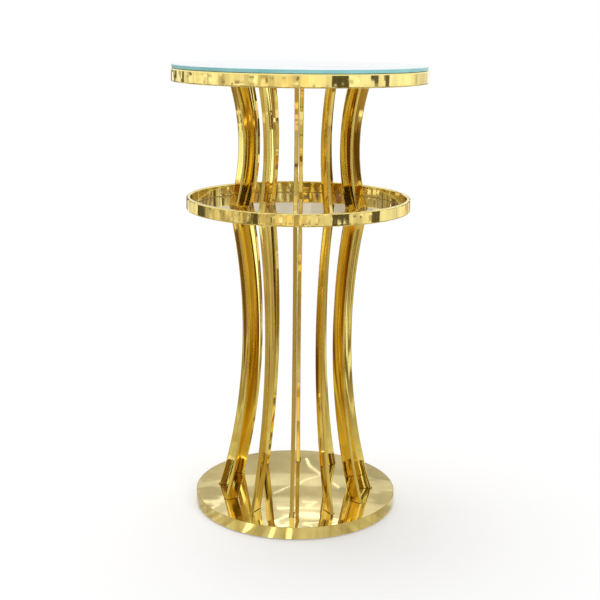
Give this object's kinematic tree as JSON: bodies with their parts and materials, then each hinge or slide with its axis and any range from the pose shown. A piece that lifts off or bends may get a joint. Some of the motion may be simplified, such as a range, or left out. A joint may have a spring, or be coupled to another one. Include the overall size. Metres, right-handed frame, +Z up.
{
  "type": "cocktail table",
  "caption": "Tall round cocktail table with a glass top, a tray shelf and a heavy round base joined by curved gold metal legs.",
  "frame": {"origin": "centre of the table's footprint on the floor, with the levelling feet wound fully in", "axes": "+Z up along the table's axis; the first leg of each cage stands on the -Y side, the front"},
  "size_m": [0.61, 0.61, 1.1],
  "materials": {
    "gold_leg_tube": "polished",
    "gold_ring": "polished",
    "gold_sheet": "polished",
    "tray_mirror": "polished",
    "plain_steel": "satin",
    "weight_steel": "matte",
    "base_board": "matte",
    "pad_rubber": "matte",
    "clear_bumper": "satin",
    "white_backing": "satin",
    "glass": "gloss"
  },
  "bodies": {
    "frame": {"base_top_skin": "gold_sheet", "base_rim_band": "gold_ring", "base_weight_plate": "weight_steel", "base_board": "base_board", "base_leg_screws": "plain_steel", "base_board_screws": "plain_steel", "leveller_inserts": "plain_steel", "lower_leg_01": "gold_leg_tube", "lower_leg_02": "gold_leg_tube", "lower_leg_03": "gold_leg_tube", "lower_leg_04": "gold_leg_tube", "lower_leg_05": "gold_leg_tube", "lower_leg_06": "gold_leg_tube", "lower_leg_07": "gold_leg_tube", "lower_leg_08": "gold_leg_tube", "lower_leg_09": "gold_leg_tube", "lower_leg_10": "gold_leg_tube", "lower_leg_11": "gold_leg_tube", "lower_leg_12": "gold_leg_tube", "lower_foot_plugs": "plain_steel", "lower_head_plugs": "plain_steel", "shelf_plate": "tray_mirror", "shelf_ring": "gold_ring", "shelf_studs": "plain_steel", "upper_leg_01": "gold_leg_tube", "upper_leg_02": "gold_leg_tube", "upper_leg_03": "gold_leg_tube", "upper_leg_04": "gold_leg_tube", "upper_leg_05": "gold_leg_tube", "upper_leg_06": "gold_leg_tube", "upper_leg_07": "gold_leg_tube", "upper_leg_08": "gold_leg_tube", "upper_leg_09": "gold_leg_tube", "upper_leg_10": "gold_leg_tube", "upper_leg_11": "gold_leg_tube", "upper_leg_12": "gold_leg_tube", "upper_foot_plugs": "plain_steel", "upper_head_plugs": "plain_steel", "top_plate": "gold_sheet", "top_ring": "gold_ring", "top_screws": "plain_steel", "glass_bumpers": "clear_bumper"},
    "levelling_foot_1": {"leveller_stem_1": "plain_steel", "leveller_pad_1": "pad_rubber"},
    "levelling_foot_2": {"leveller_stem_2": "plain_steel", "leveller_pad_2": "pad_rubber"},
    "levelling_foot_3": {"leveller_stem_3": "plain_steel", "leveller_pad_3": "pad_rubber"},
    "levelling_foot_4": {"leveller_stem_4": "plain_steel", "leveller_pad_4": "pad_rubber"},
    "glass": {"glass_top": "glass", "glass_backing": "white_backing"}
  },
  "joints": [
    {"name": "levelling_foot_1_travel", "type": "slide", "parent": "frame", "child": "levelling_foot_1", "axis": [0, 0, -1], "range_m": [0, 0.01]},
    {"name": "levelling_foot_2_travel", "type": "slide", "parent": "frame", "child": "levelling_foot_2", "axis": [0, 0, -1], "range_m": [0, 0.01]},
    {"name": "levelling_foot_3_travel", "type": "slide", "parent": "frame", "child": "levelling_foot_3", "axis": [0, 0, -1], "range_m": [0, 0.01]},
    {"name": "levelling_foot_4_travel", "type": "slide", "parent": "frame", "child": "levelling_foot_4", "axis": [0, 0, -1], "range_m": [0, 0.01]},
    {"name": "glass_lift", "type": "slide", "parent": "frame", "child": "glass", "axis": [0, 0, 1], "range_m": [0, 0.06]}
  ]
}
